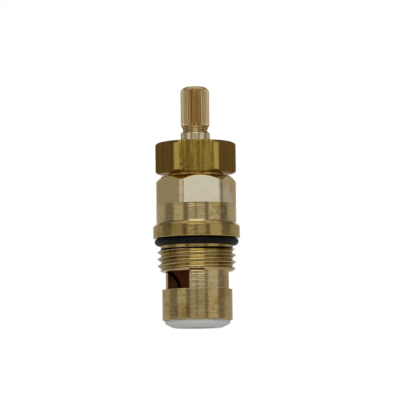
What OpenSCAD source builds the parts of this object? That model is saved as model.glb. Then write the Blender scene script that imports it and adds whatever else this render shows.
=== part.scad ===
// Ceramic disc tap cartridge: a quarter-turn valve head that screws into a tap.
// Lengths are in millimetres. Z runs up the spindle, X runs through the two water ports,
// and the origin is under the middle of the seat seal.

/* [Cup and ports] */
// Outside diameter of the cup at the lower end of the body
cup_d = 18.6; // [18:0.05:19.2]
// Inside diameter of the cup and of the chamber behind the ports
chamber_d = 16.54; // [16:0.02:16.9]
// Height of the cup from its rim to the sill of the ports
cup_h = 8.45; // [8.2:0.05:9.2]
// Chamfer on the outer edge of the cup's rim
cup_edge = 0.2; // [0.1:0.05:0.4]
// Height of the ports
port_h = 4.5; // [4.3:0.05:5]
// Distance from the axis to the flat face of each port
port_face = 5.5; // [5.2:0.05:6]
// Height of the chamber above the ports
chamber_rise = 2.75; // [2.6:0.05:3.2]
// Width of the two keyways that hold the lower disc
key_w = 3; // [2.4:0.1:3.6]
// Depth of the keyways in the cup's wall
key_depth = 0.5; // [0.4:0.05:0.6]

/* [Pipe thread and flange] */
// Outside diameter of the pipe thread
thread_d = 20.8; // [20.6:0.05:20.95]
// Length of the pipe thread
thread_len = 5.85; // [5:0.05:7]
// Chamfer at the lower end of the pipe thread
thread_edge = 0.7; // [0.4:0.05:0.9]
// Diameter of the land between the thread and the O-ring
land_d = 19.2; // [18.8:0.05:19.8]
// Height of the land
land_h = 0.85; // [0.6:0.05:1.2]
// Diameter of the flange
flange_d = 23; // [22.6:0.05:24]
// Height of the flange with the cone above it
flange_h = 3.75; // [3.2:0.05:4.5]
// Chamfer on the lower edge of the flange
flange_edge = 0.35; // [0.2:0.05:0.5]

/* [Spanner flats and neck] */
// Diameter of the round section above the flange
round_d = 21.2; // [20.9:0.05:21.6]
// Height of the round section
round_h = 5.1; // [4.5:0.05:6]
// Distance across the spanner flats
flats_af = 19; // [18.6:0.05:19.6]
// Height of the spanner flats
flats_h = 7.25; // [6.5:0.05:8]
// Angle of the spanner flats about the axis, from the ports
flats_turn = 11.8; // [0:0.1:59.9]
// Chamfer at the top of the spanner flats
flats_edge = 1.35; // [1:0.05:1.6]
// Outside diameter of the threaded neck
neck_d = 13.8; // [13.4:0.05:14.2]
// Height of the threaded neck
neck_h = 7.2; // [6.8:0.05:7.6]
// Chamfer at the top of the neck
neck_edge = 0.5; // [0.3:0.05:0.7]

/* [Lock nut] */
// Distance across the flats of the nut
nut_af = 19.2; // [18.8:0.05:19.8]
// Diameter across the rounded corners of the nut
nut_d = 21.3; // [21.1:0.05:21.7]
// Height of the nut
nut_h = 8.6; // [8.4:0.05:9]
// Diameter of the flat end faces of the nut
nut_face_d = 18.5; // [17.8:0.05:19]
// Slope of the nut's end chamfers from level
nut_slope = 30; // [20:1:45]
// Gap between the nut and the spanner flats
nut_gap = 0.65; // [0.4:0.05:0.9]
// Angle of the nut about the axis, from the ports
nut_turn = 4.3; // [0:0.1:59.9]
// Chamfer at the ends of the nut's hole
nut_hole_edge = 0.6; // [0.3:0.05:0.8]

/* [Spindle end] */
// Diameter of the stem that comes out of the nut
stem_d = 7.7; // [7.4:0.02:8]
// Height of the stem above the nut
stem_rise = 2.75; // [2:0.05:3.5]
// Chamfer at the top of the stem
stem_edge = 0.3; // [0.1:0.05:0.5]
// Diameter of the groove between the stem and the spline
waist_d = 6.36; // [6:0.02:6.6]
// Height of the groove
waist_h = 0.6; // [0.4:0.05:1]
// Height of the cone where the spline runs out
run_out_h = 1.3; // [1:0.05:1.8]
// Outside diameter of the spline
spline_d = 7.6; // [7.5:0.02:7.9]
// Length of the spline at its full diameter
spline_len = 9; // [8:0.05:11]
// Teeth on the spline
spline_teeth = 24; // [20:1:28]
// Depth of the spline's grooves
spline_depth = 0.36; // [0.25:0.01:0.4]
// Width of the rounded end of the spindle, in from the spline
crown_w = 1.25; // [1:0.05:1.5]
// Height of the rounded end of the spindle
crown_h = 1.2; // [0.9:0.05:1.5]
// Diameter of the hole for the handle screw
screw_d = 3.3; // [2.5:0.1:3.5]
// Depth of the hole for the handle screw
screw_depth = 10; // [7:0.5:11]

/* [Spindle inside the body] */
// Diameter of the barrel that carries the spindle's O-rings
barrel_d = 9.9; // [9.6:0.02:10.2]
// Length of the stem's hole below the top of the neck
stem_hole_h = 10.6; // [10:0.1:11.4]
// Radius of the rotor where it stands on the upper disc
foot_r = 5.06; // [4.8:0.02:5.3]
// Radius of the hollow curve of the rotor's side
cove_r = 5; // [4.8:0.02:5.2]
// Gap between the rotor's rim and the chamber wall
rim_gap = 0.17; // [0.12:0.01:0.25]
// Thickness of the drive blade
blade_t = 2.6; // [2:0.1:3]
// Length of the drive blade
blade_l = 9; // [8:0.1:9.4]
// Height of the drive blade
blade_h = 1.5; // [1:0.1:1.8]
// Width of the body's stop block, as an angle
stop_angle = 30; // [24:1:40]
// Height of the stop block
stop_h = 1.6; // [1.2:0.05:1.8]
// Distance from the axis to the stop block
stop_r = 6.6; // [6.4:0.05:6.9]
// Turn of the spindle from shut to open
travel = 90; // [80:1:90]
// Angle left free at each end of the travel
stop_play = 1; // [0.5:0.1:2]

/* [Spindle seals and rings] */
// Thickness of the spindle's O-rings
seal_ring_t = 1.74; // [1.6:0.02:1.8]
// Width of the spindle's seal grooves
seal_groove_h = 2.2; // [2:0.05:2.4]
// Height of the lower seal groove above the rotor
lower_groove_z = 5; // [4:0.1:6]
// Distance between the seal grooves
groove_pitch = 7.6; // [6:0.1:8.5]
// Thickness of the slip washer
slip_t = 0.6; // [0.5:0.05:0.7]
// Outside diameter of the slip washer
slip_d = 12.4; // [12:0.1:12.8]
// Outside diameter of the circlip
clip_d = 11; // [10:0.1:12]
// Thickness of the circlip
clip_t = 0.8; // [0.6:0.05:0.9]
// Depth of the circlip's groove in the stem
clip_depth = 0.55; // [0.4:0.05:0.6]
// Opening of the circlip, as an angle
clip_open = 60; // [40:5:80]

/* [Discs and seals] */
// Thickness of each ceramic disc
disc_t = 3; // [2.8:0.05:3.1]
// Chamfer on the edges of the discs
disc_edge = 0.25; // [0.1:0.05:0.4]
// Inner radius of the water holes in the discs
hole_in_r = 2.7; // [2.4:0.05:3]
// Outer radius of the water holes in the discs
hole_out_r = 7; // [6.6:0.05:7.2]
// Width of each water hole, as an angle
hole_angle = 78; // [70:1:80]
// Diameter of the seat seal's lip below the cup
lip_d = 17.3; // [17:0.05:17.8]
// Height of the lip below the cup
lip_h = 1.8; // [1.6:0.05:2.1]
// Width of the slope around the lip's lower edge
lip_slope_w = 1.55; // [1.2:0.05:1.8]
// Height of the slope around the lip's lower edge
lip_slope_h = 0.9; // [0.6:0.05:1.1]
// Height of the seal's collar inside the cup
collar_h = 2.4; // [2.3:0.05:2.6]
// Diameter of the inlet hole in the seat seal
inlet_d = 10; // [9.7:0.1:10.6]
// Outside diameter of the flange O-ring
flange_ring_d = 22.2; // [21.8:0.05:22.4]
// Thickness of the flange O-ring
flange_ring_t = 2.25; // [2.1:0.05:2.4]

/* [Fits] */
// Clearance around a turning shaft, on the radius
turn_clear = 0.05; // [0.02:0.01:0.08]
// Clearance around a seated piece, on the radius
seat_clear = 0.06; // [0.03:0.01:0.1]
// Gap between faces that slide on each other
face_gap = 0.02; // [0.01:0.01:0.05]

/* [Hidden] */
$fn = 96;
cup_r = cup_d / 2;
chamber_r = chamber_d / 2;
thread_r = thread_d / 2;
flange_r = flange_d / 2;
round_r = round_d / 2;
neck_r = neck_d / 2;
stem_r = stem_d / 2;
barrel_r = barrel_d / 2;
barrel_hole_r = barrel_r + turn_clear;
spline_r = spline_d / 2;
spline_root_r = spline_r - spline_depth;
waist_r = waist_d / 2;
rim_r = chamber_r - rim_gap;
ring_r = (flange_ring_d - flange_ring_t) / 2;
ring_floor_r = flange_ring_d / 2 - flange_ring_t - face_gap;
groove_floor_r = barrel_hole_r - face_gap - seal_ring_t - face_gap;
clip_floor_r = stem_r - clip_depth;
big = 60;

rim_z = lip_h;
sill_z = rim_z + cup_h;
thread_z = sill_z + port_h;
land_z = thread_z + thread_len;
ring_z = land_z + land_h;
flange_z = ring_z + flange_ring_t + 2 * face_gap;
round_z = flange_z + flange_h;
flats_z = round_z + round_h;
neck_z = flats_z + flats_h;
neck_top_z = neck_z + neck_h;
shoulder_z = thread_z + chamber_rise;
stem_hole_z = neck_top_z - stem_hole_h;

lower_disc_z = rim_z + collar_h;
upper_disc_z = lower_disc_z + disc_t + face_gap;
foot_z = upper_disc_z + disc_t;
rotor_top_z = shoulder_z - slip_t - face_gap;
lower_groove = rotor_top_z + lower_groove_z;
upper_groove = lower_groove + groove_pitch;
clip_z = neck_top_z + 0.1 + face_gap;
nut_z = neck_z + nut_gap;
stem_top_z = nut_z + nut_h + stem_rise;
cone_z = stem_top_z + waist_h;
spline_z = cone_z + run_out_h;
crown_z = spline_z + spline_len;
top_z = crown_z + crown_h;

brass = [0.78, 0.64, 0.36];
nut_brass = [0.66, 0.53, 0.24];
rubber_black = [0.05, 0.05, 0.05];
ceramic_white = [0.9, 0.9, 0.87];
seal_white = [0.86, 0.86, 0.85];
clip_steel = [0.7, 0.7, 0.7];
slip_plastic = [0.8, 0.78, 0.7];

// A piece of the plane of a turned profile, between two radii and two heights
module band(r0, r1, z0, z1) {
  translate([r0, z0]) square([r1 - r0, z1 - z0]);
}

// A hexagonal bar with flats facing the angle given
module hex_bar(af, turn, z0, h) {
  translate([0, 0, z0]) rotate([0, 0, turn + 30]) cylinder(d = af / cos(30), h = h, $fn = 6);
}

// A block between two radii and two angles; the angles are under 180 degrees apart
module sector(r0, r1, a0, a1, z0, h) {
  translate([0, 0, z0]) linear_extrude(height = h) intersection() {
    difference() {
      circle(r = r1);
      circle(r = r0);
    }
    polygon([
      [0, 0],
      big * [cos(a0), sin(a0)],
      2 * big * [cos((a0 + a1) / 2), sin((a0 + a1) / 2)],
      big * [cos(a1), sin(a1)]
    ]);
  }
}

// The outside of the body as the lathe leaves it, up to the spanner flats
module body_turning() {
  cone_h = flange_r - round_r;
  rotate_extrude() polygon([
    [0, rim_z],
    [cup_r - cup_edge, rim_z],
    [cup_r, rim_z + cup_edge],
    [cup_r, thread_z],
    [thread_r - thread_edge, thread_z],
    [thread_r, thread_z + thread_edge],
    [thread_r, land_z - thread_edge],
    [max(land_d / 2, thread_r - thread_edge), land_z],
    [land_d / 2, land_z],
    [land_d / 2, ring_z],
    [ring_floor_r, ring_z],
    [ring_floor_r, flange_z],
    [flange_r - flange_edge, flange_z],
    [flange_r, flange_z + flange_edge],
    [flange_r, round_z - cone_h],
    [round_r, round_z],
    [round_r, flats_z],
    [0, flats_z]
  ]);
}

// The spanner flats with the threaded neck on top of them
module body_head() {
  intersection() {
    rotate_extrude() polygon([
      [0, flats_z],
      [round_r, flats_z],
      [round_r, neck_z - flats_edge],
      [round_r - flats_edge, neck_z],
      [0, neck_z]
    ]);
    hex_bar(flats_af, flats_turn, flats_z - 1, flats_h + 2);
  }
  rotate_extrude() polygon([
    [0, neck_z - 1],
    [neck_r, neck_z - 1],
    [neck_r, neck_top_z - neck_edge],
    [neck_r - neck_edge, neck_top_z],
    [0, neck_top_z]
  ]);
}

// The space inside the body, around the stop block that is left standing in it
module body_cavity() {
  difference() {
    rotate_extrude() union() {
      band(0, chamber_r, rim_z - 1, shoulder_z);
      band(0, barrel_hole_r, shoulder_z - 1, stem_hole_z);
      band(0, stem_r + turn_clear, stem_hole_z - 1, neck_top_z + 1);
    }
    sector(stop_r, chamber_r + 1, 90 - stop_angle / 2, 90 + stop_angle / 2, shoulder_z - stop_h, stop_h + 1);
  }
  intersection() {
    translate([-key_w / 2, -big / 2, rim_z - 1]) cube([key_w, big, lower_disc_z + disc_t - rim_z + 1]);
    cylinder(r = chamber_r + key_depth, h = big);
  }
}

module port_cut() {
  translate([port_face, -big / 2, sill_z]) cube([big / 2, big, port_h]);
}

module valve_body() {
  color(brass) difference() {
    union() {
      body_turning();
      body_head();
    }
    body_cavity();
    port_cut();
    mirror([1, 0, 0]) port_cut();
  }
}

module flange_oring() {
  color(rubber_black) rotate_extrude()
    translate([ring_r, ring_z + face_gap + flange_ring_t / 2]) circle(d = flange_ring_t);
}

module lock_nut() {
  hole_r = neck_r + turn_clear;
  face_r = nut_face_d / 2;
  slope_h = (nut_d / 2 - face_r) * tan(nut_slope);
  color(nut_brass) intersection() {
    rotate_extrude() polygon([
      [hole_r + nut_hole_edge, nut_z],
      [face_r, nut_z],
      [nut_d / 2, nut_z + slope_h],
      [nut_d / 2, nut_z + nut_h - slope_h],
      [face_r, nut_z + nut_h],
      [hole_r + nut_hole_edge, nut_z + nut_h],
      [hole_r, nut_z + nut_h - nut_hole_edge],
      [hole_r, nut_z + nut_hole_edge]
    ]);
    hex_bar(nut_af, nut_turn, nut_z - 1, nut_h + 2);
  }
}

// The rotor: a flared bell that fills the top of the chamber and stands on the upper disc
module rotor_profile() {
  difference() {
    band(0, rim_r, foot_z, rotor_top_z);
    translate([foot_r + cove_r, foot_z]) circle(r = cove_r);
  }
}

module barrel_profile() {
  difference() {
    union() {
      band(0, barrel_r, rotor_top_z - 1, stem_hole_z - 0.3);
      band(0, stem_r, stem_hole_z - 1, stem_top_z - stem_edge);
    }
    band(groove_floor_r, big, lower_groove, lower_groove + seal_groove_h);
    band(groove_floor_r, big, upper_groove, upper_groove + seal_groove_h);
    band(clip_floor_r, big, clip_z - face_gap, clip_z + clip_t + face_gap);
  }
}

module stem_end_profile() {
  polygon([
    [0, stem_top_z - stem_edge],
    [stem_r, stem_top_z - stem_edge],
    [stem_r - stem_edge, stem_top_z],
    [waist_r, stem_top_z],
    [waist_r, cone_z],
    [0, cone_z]
  ]);
}

// The cross-section of the spline
module spline_shape() {
  pitch = 360 / spline_teeth;
  polygon([
    for (i = [0 : spline_teeth - 1])
      for (p = [[-0.36, 0], [-0.2, 1], [0.2, 1], [0.36, 0]])
        (spline_root_r + p[1] * spline_depth) * [cos((i + p[0]) * pitch), sin((i + p[0]) * pitch)]
  ]);
}

// The splined end; its grooves run out through the cone below and the crown above
module splined_end() {
  intersection() {
    rotate_extrude() polygon([
      [0, cone_z - 0.1],
      [waist_r, cone_z - 0.1],
      [waist_r, cone_z],
      [spline_r, spline_z],
      [spline_r, crown_z],
      [spline_r - 0.22 * crown_w, crown_z + 0.52 * crown_h],
      [spline_r - 0.58 * crown_w, crown_z + 0.87 * crown_h],
      [spline_r - crown_w, top_z],
      [0, top_z]
    ]);
    translate([0, 0, cone_z - 1]) linear_extrude(height = top_z - cone_z + 2) spline_shape();
  }
}

module spindle() {
  recess_a0 = 90 - travel - stop_angle / 2 - stop_play;
  recess_a1 = 90 + stop_angle / 2 + stop_play;
  recess_z = shoulder_z - stop_h - 0.2;
  color(brass) difference() {
    union() {
      rotate_extrude() union() {
        rotor_profile();
        barrel_profile();
        stem_end_profile();
      }
      splined_end();
      translate([-blade_l / 2, -blade_t / 2, foot_z - blade_h]) cube([blade_l, blade_t, blade_h + 0.5]);
    }
    sector(stop_r - 0.15, big / 2, recess_a0, recess_a1, recess_z, rotor_top_z - recess_z + 0.1);
    translate([0, 0, top_z - screw_depth]) cylinder(d = screw_d, h = screw_depth + 1);
  }
}

module spindle_circlip() {
  color(clip_steel) difference() {
    translate([0, 0, clip_z]) cylinder(d = clip_d, h = clip_t);
    translate([0, 0, clip_z - 1]) cylinder(r = clip_floor_r + face_gap, h = clip_t + 2);
    sector(0.1, big / 2, -clip_open / 2, clip_open / 2, clip_z - 1, clip_t + 2);
  }
}

module spindle_oring(z) {
  color(rubber_black) rotate_extrude()
    translate([groove_floor_r + face_gap + seal_ring_t / 2, z + seal_groove_h / 2]) circle(d = seal_ring_t);
}

module upper_spindle_oring() {
  spindle_oring(upper_groove);
}

module lower_spindle_oring() {
  spindle_oring(lower_groove);
}

module slip_washer() {
  color(slip_plastic) rotate_extrude()
    band(barrel_r + turn_clear + 0.05, slip_d / 2, shoulder_z - slip_t, shoulder_z);
}

// A ceramic disc with chamfered edges and two water holes facing the angle given
module disc_blank(r, z, holes) {
  difference() {
    rotate_extrude() polygon([
      [0, z],
      [r - disc_edge, z],
      [r, z + disc_edge],
      [r, z + disc_t - disc_edge],
      [r - disc_edge, z + disc_t],
      [0, z + disc_t]
    ]);
    for (a = [holes, holes + 180])
      sector(hole_in_r, hole_out_r, a - hole_angle / 2, a + hole_angle / 2, z - 1, disc_t + 2);
  }
}

module upper_disc() {
  slot_l = blade_l + 2 * seat_clear;
  slot_t = blade_t + 2 * seat_clear;
  color(ceramic_white) difference() {
    disc_blank(rim_r, upper_disc_z, 90);
    translate([-slot_l / 2, -slot_t / 2, foot_z - blade_h - face_gap]) cube([slot_l, slot_t, blade_h + 1]);
  }
}

module lower_disc() {
  ear_w = key_w - 2 * seat_clear;
  color(ceramic_white) union() {
    disc_blank(chamber_r - seat_clear, lower_disc_z, 0);
    for (a = [90, 270])
      rotate([0, 0, a]) intersection() {
        translate([hole_out_r + 0.5, -ear_w / 2, lower_disc_z + disc_edge])
          cube([big, ear_w, disc_t - 2 * disc_edge]);
        cylinder(r = chamber_r + key_depth - seat_clear, h = big);
      }
  }
}

module seat_seal() {
  color(seal_white) rotate_extrude() polygon([
    [inlet_d / 2, 0],
    [lip_d / 2 - lip_slope_w, 0],
    [lip_d / 2, lip_slope_h],
    [lip_d / 2, rim_z],
    [chamber_r - seat_clear, rim_z],
    [chamber_r - seat_clear, lower_disc_z],
    [inlet_d / 2, lower_disc_z]
  ]);
}

valve_body();
flange_oring();
lock_nut();
spindle();
spindle_circlip();
upper_spindle_oring();
lower_spindle_oring();
slip_washer();
upper_disc();
lower_disc();
seat_seal();
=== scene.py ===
"""Looks of a brass ceramic disc tap cartridge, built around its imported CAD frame.

Sizes below are in millimetres, in the frame of the solids: Z up the spindle, X through the water ports,
origin under the middle of the seat seal. Meshes are made in metres.
"""

import math

import bmesh
import bpy
import numpy as np
from mathutils import Matrix, Vector


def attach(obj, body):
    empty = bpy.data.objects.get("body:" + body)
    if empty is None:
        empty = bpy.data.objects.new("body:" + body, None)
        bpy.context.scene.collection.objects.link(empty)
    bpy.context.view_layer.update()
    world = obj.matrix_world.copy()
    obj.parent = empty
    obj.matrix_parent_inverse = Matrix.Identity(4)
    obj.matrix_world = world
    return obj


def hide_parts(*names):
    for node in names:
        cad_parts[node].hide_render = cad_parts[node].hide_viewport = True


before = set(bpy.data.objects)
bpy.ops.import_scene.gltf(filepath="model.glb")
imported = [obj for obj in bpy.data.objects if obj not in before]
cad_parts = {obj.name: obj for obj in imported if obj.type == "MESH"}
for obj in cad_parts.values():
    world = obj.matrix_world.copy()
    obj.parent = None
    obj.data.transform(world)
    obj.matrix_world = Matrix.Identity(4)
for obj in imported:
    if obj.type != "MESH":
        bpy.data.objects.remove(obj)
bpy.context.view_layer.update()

MM = 0.001

# Heights of the turned steps above the origin
SEAL_Z = 0.12
RIM_Z = 2.05
SEAL_TOP_Z = 4.2
KEY_TOP_Z = 7.2
SILL_Z = 10.14
FOOT_Z = 10.22
PORT_TOP_Z = 14.88
THREAD_Z = 15.0
ROTOR_TOP_Z = 16.88
SHOULDER_Z = 17.5
RELIEF_Z = 20.56
LAND_Z = 20.88
RING_Z = 21.75
FLANGE_Z = 23.74
ROUND_Z = 27.73
FLATS_Z = 32.59
STEM_HOLE_Z = 36.44
NECK_Z = 40.0
NUT_Z = 40.82
NECK_TOP_Z = 47.04
NUT_TOP_Z = 49.09
STEM_TOP_Z = 51.84
CONE_Z = 52.44
SPLINE_Z = 53.74
CROWN_Z = 62.5
TOP_Z = 63.94

# Radii of the body's turned steps, and the size of their bevelled edges
CUP_R = 9.3
CHAMBER_R = 8.27
THREAD_R = 10.4
LAND_R = 9.6
RELIEF_R = 9.25
HOLLOW_R = 8.8
GROOVE_R = 8.83
FLANGE_R = 11.5
ROUND_R = 10.6
NECK_R = 6.9
CUP_EDGE = 0.2
FLANGE_EDGE = 0.12
FLANGE_CONE = 0.93
NECK_EDGE = 0.5

# The port's flat face, and the keyways of the cup: half their width and their two ends
PORT_FACE = 5.5
KEY_HALF = 1.5
KEY_IN = 7.5
KEY_OUT = 8.7

# Ends of the port cutters, beyond the body
CUT_X = 30
CUT_Y = 20

# Radii of the spindle, the room that it and the nut turn in, and the bevel at the top of its stem
ROTOR_R = 8.1
BARREL_R = 4.95
STEM_R = 3.85
WAIST_R = 3.24
SPLINE_R = 3.8
SEAL_FLOOR_R = 3.22
CLIP_FLOOR_R = 3.3
TURN_ROOM = 0.05
STEM_EDGE = 0.3

# The rotor's hollow curve: its radius, the radius of the ring that its middle lies on, its height, and the
# radius of a ring on the flat foot just inside it
COVE_R = 5.0
COVE_MID_R = 10.06
COVE_H = 4.62
FOOT_R = 4.9

# The drive blade: half its length and half its width, how far it hangs down and how far it reaches up
BLADE_X = 4.5
BLADE_Y = 1.3
BLADE_DROP = 1.5
BLADE_ROOT = 0.4

# Grooves of the spindle: the two for its O-rings and the one for its circlip
LOW_SEAL_Z = 21.88
HIGH_SEAL_Z = 29.48
SEAL_GROOVE_H = 2.2
CLIP_Z = NECK_TOP_Z + 0.1
CLIP_H = 0.84

# The spline: teeth, depth, where a tooth's side starts and ends, the bend of that side, its softness where
# it meets cone and crown, and the columns of half a tooth. Shares are of a pitch, from a tooth's middle
TEETH = 24
TOOTH_DEPTH = 0.36
TOOTH_ROOT = 0.375
TOOTH_TIP = 0.2
TOOTH_BEND = 0.8
TOOTH_SOFT = 0.06
TOOTH_COLUMNS = (0.1, 0.19, 0.215, 0.28, 0.35, 0.385, 0.44)

# The rounded end of the spindle, its width and its bend, and its screw hole
CROWN_W = 1.75
CROWN_BEND = 1.6
SCREW_R = 1.65
SCREW_MOUTH_R = 1.9
SCREW_DEPTH = 10.0
SCREW_TIP = 0.9

# Turned rings on the spindle's waist: their pitch and half their depth
MARK_PITCH = 0.42
MARK_DEPTH = 0.04

# Run-out of the spline's grooves: how far below the cone's top they end, and over what height they fade
RUN_OUT_DROP = 0.34
RUN_OUT_H = 0.6

# Hexagons: half the distance across the flats, the angle of one flat, and the bevels at their ends
FLATS_HALF = 9.5
FLATS_TURN = math.radians(11.8)
FLATS_EDGE = 1.35
NUT_HALF = 9.53
NUT_R = 10.65
NUT_FACE_R = 9.62
NUT_TURN = math.radians(4.3)
NUT_TOP_SLOPE = 0.85
NUT_LOW_SLOPE = 0.75
NUT_EDGE = 0.6

# Rows up the side of a hexagon, as shares of its height, closer together at both ends
FLATS_ROWS = (0, 0.012, 0.03, 0.1, 0.25, 0.4, 0.55, 0.7, 0.85, 0.94, 0.98, 0.992, 1.0)
NUT_ROWS = (0, 0.01, 0.03, 0.1, 0.25, 0.42, 0.58, 0.75, 0.9, 0.97, 0.99, 1.0)
BEVEL_ROWS = (0.1, 0.3, 0.6, 0.85, 0.97)

# The pipe thread: pitch, depth, the softness of its crest and of its root as shares of half a pitch, the
# height of one crest at angle zero, and how far its lower end starts below the crest
PIPE_PITCH = 1.814
PIPE_DEPTH = 0.97
PIPE_TIP = 0.06
PIPE_ROOT = 0.4
PIPE_PHASE = 17.51
PIPE_START = 0.85

# The relief groove over the thread: how far its two edges rise towards the sides and how far they sway,
# how soon it is deep, the lip and slope at its lower edge, and the heights over which its edges run
RELIEF_RUN = 0.4
RELIEF_SWAY = 0.1
LAND_RUN = 0.3
LAND_SWAY = 0.08
RELIEF_WIDE = 1.5
RELIEF_LIP = 0.1
RELIEF_STEEP = 6
RELIEF_SOFT = 0.09
LAND_SOFT = 0.06

# The hollow under the thread's lower end: its middle, half its height, its angle, how far round it reaches,
# how softly it ends, how far the cup dips towards it, the slope of its walls, and its rise past its ends
HOLLOW_Z = THREAD_Z + 0.1
HOLLOW_HALF = 0.06
HOLLOW_SIDE = math.radians(-117)
HOLLOW_REACH = math.radians(15)
HOLLOW_SOFT = 0.016
HOLLOW_DIP = 0.2
HOLLOW_STEEP = 8
HOLLOW_RISE = 2

# The flange O-ring: its middle, half its width, its heights over and under the middle, and the height of
# its moulding line
O_RING_R = 9.975
O_RING_Z = 22.86
O_RING_HALF = 1.125
O_RING_UP = 0.86
O_RING_DOWN = 1.09
O_RING_LINE = 0.012

# Radii of the seat seal, and the height of its lip's bevel
SEAL_HOLE_R = 5.0
SEAL_FACE_R = 6.4
SEAL_LIP_R = 8.62
SEAL_RIM_R = 8.65
SEAL_COLLAR_R = 8.21
SEAL_LIP_H = 1.05

# The camera of the photograph: its angles round the object, above the horizon and about its own axis, its
# distance in metres, the place it looks at, and its lens
VIEW_AZ = math.radians(-27.1)
VIEW_EL = math.radians(-4.9)
VIEW_ROLL = math.radians(0.76)
VIEW_DISTANCE = 0.85
VIEW_AIM_Z = 33.9
VIEW_AIM_SIDE = 1.03
VIEW_LENS = 289.4
VIEW_SENSOR = 36

# The angle round the object of its front, which is the side that the photograph shows
FRONT_SIDE = VIEW_AZ - math.pi / 2

# The floor: its edge, its hole under the seal's flat face, and its height
FLOOR_R = 400.0
FLOOR_HOLE_R = 6.2
FLOOR_Z = -0.02

# Edges that turn by more than this many degrees stay sharp
SHARP = 38

# Distances in metres under which two corners of a mesh are one, and a face has no width
SAME_CORNER = 2e-7
NO_WIDTH = 1e-8


class Value:
    """A shader socket that takes part in Python arithmetic; each operation adds a Math node."""

    def __init__(self, net, socket):
        self.net = net
        self.socket = socket

    def __add__(self, other):
        return self.net.math("ADD", self, other)

    def __radd__(self, other):
        return self.net.math("ADD", other, self)

    def __sub__(self, other):
        return self.net.math("SUBTRACT", self, other)

    def __rsub__(self, other):
        return self.net.math("SUBTRACT", other, self)

    def __mul__(self, other):
        return self.net.math("MULTIPLY", self, other)

    def __rmul__(self, other):
        return self.net.math("MULTIPLY", other, self)

    def __truediv__(self, other):
        return self.net.math("DIVIDE", self, other)

    def __pow__(self, other):
        return self.net.math("POWER", self, other)


class Net:
    """A node tree with one method that adds any node, and short names for the common ones."""

    def __init__(self, tree):
        self.tree = tree

    def node(self, kind, settings=None, inputs=None, out=0):
        """Adds a node, sets its settings first, then fills its sockets with values or links."""
        made = self.tree.nodes.new(kind)
        for name, setting in (settings or {}).items():
            setattr(made, name, setting)
        for key, given in (inputs or {}).items():
            if isinstance(given, Value):
                self.tree.links.new(given.socket, made.inputs[key])
            else:
                made.inputs[key].default_value = given
        return Value(self, made.outputs[out]) if made.outputs else None

    def math(self, operation, *given):
        """A Math node on numbers and values."""
        return self.node("ShaderNodeMath", {"operation": operation}, dict(enumerate(given)))

    def vector(self, operation, a, b):
        """A Vector Math node on two vectors."""
        return self.node("ShaderNodeVectorMath", {"operation": operation}, {0: a, 1: b})

    def mix(self, a, b, factor):
        """Colour a where factor is 0 and colour b where it is 1."""
        return self.node("ShaderNodeMix", {"data_type": "RGBA"}, {0: factor, 6: a, 7: b}, 2)

    def ramp(self, value, low, high):
        """0 below low, 1 above high and a smooth step between."""
        return self.node(
            "ShaderNodeMapRange",
            {"interpolation_type": "SMOOTHSTEP"},
            {"Value": value, "From Min": low, "From Max": high},
        )

    def band(self, value, low, high, soft):
        """1 between low and high, with edges that soften over soft."""
        return self.ramp(value, low - soft, low + soft) * (1 - self.ramp(value, high - soft, high + soft))

    def noise(self, place, stretch, detail=2.0, rough=0.5):
        """Fractal noise from 0 to 1; stretch gives its waves per millimetre along x, y and z."""
        scaled = self.vector("MULTIPLY", place, stretch)
        return self.node(
            "ShaderNodeTexNoise",
            {"noise_dimensions": "3D"},
            {"Vector": scaled, "Scale": 1.0, "Detail": detail, "Roughness": rough},
        )

    def bump(self, height, strength, distance):
        """A normal tilted by a height, which counts from 0 to 1 as a distance in millimetres."""
        return self.node(
            "ShaderNodeBump", None, {"Height": height, "Strength": strength, "Distance": distance * MM}
        )


def rgba(r, g, b):
    """A solid colour."""
    return (r, g, b, 1.0)


def finish_net(name):
    """A new material, its net and its place on the object in millimetres."""
    material = bpy.data.materials.new(name)
    material.use_nodes = True
    material.node_tree.nodes.clear()
    net = Net(material.node_tree)
    spot = net.node("ShaderNodeTexCoord", None, None, "Object")
    place = net.vector("MULTIPLY", spot, (1 / MM, 1 / MM, 1 / MM))
    return material, net, place


def close_finish(net, sockets, fixed):
    """Ends a net in a Principled shader; fixed values go on its sockets and the rest are linked."""
    shader = net.node("ShaderNodeBsdfPrincipled", None, {**fixed, **sockets})
    net.node("ShaderNodeOutputMaterial", None, {"Surface": shader})


def split_place(net, place):
    """x, y and z of a place, as three values."""
    split = net.node("ShaderNodeSeparateXYZ", None, {0: place})
    outs = split.socket.node.outputs
    return Value(net, outs[0]), Value(net, outs[1]), Value(net, outs[2])


def around_axis(net, x, y):
    """Distance from the axis and angle round it, as two values."""
    return net.math("SQRT", x * x + y * y), net.math("ARCTAN2", y, x)


def spot_mask(net, place, ragged, middle, reach):
    """1 at a middle place and 0 beyond a reach from it, with a border made ragged by a noise."""
    away = net.node("ShaderNodeVectorMath", {"operation": "DISTANCE"}, {0: place, 1: middle}, "Value")
    return 1 - net.ramp(away + ragged * 2.4 - 1.2, reach * 0.6, reach * 1.1)


def alternate_flats(net, angle, turn):
    """1 on every other flat of a hexagon and 0 on the rest: three waves of a cosine to the turn."""
    wave = net.math("COSINE", (angle - turn) * 3)
    return net.ramp(wave, -0.15, 0.15)


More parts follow.
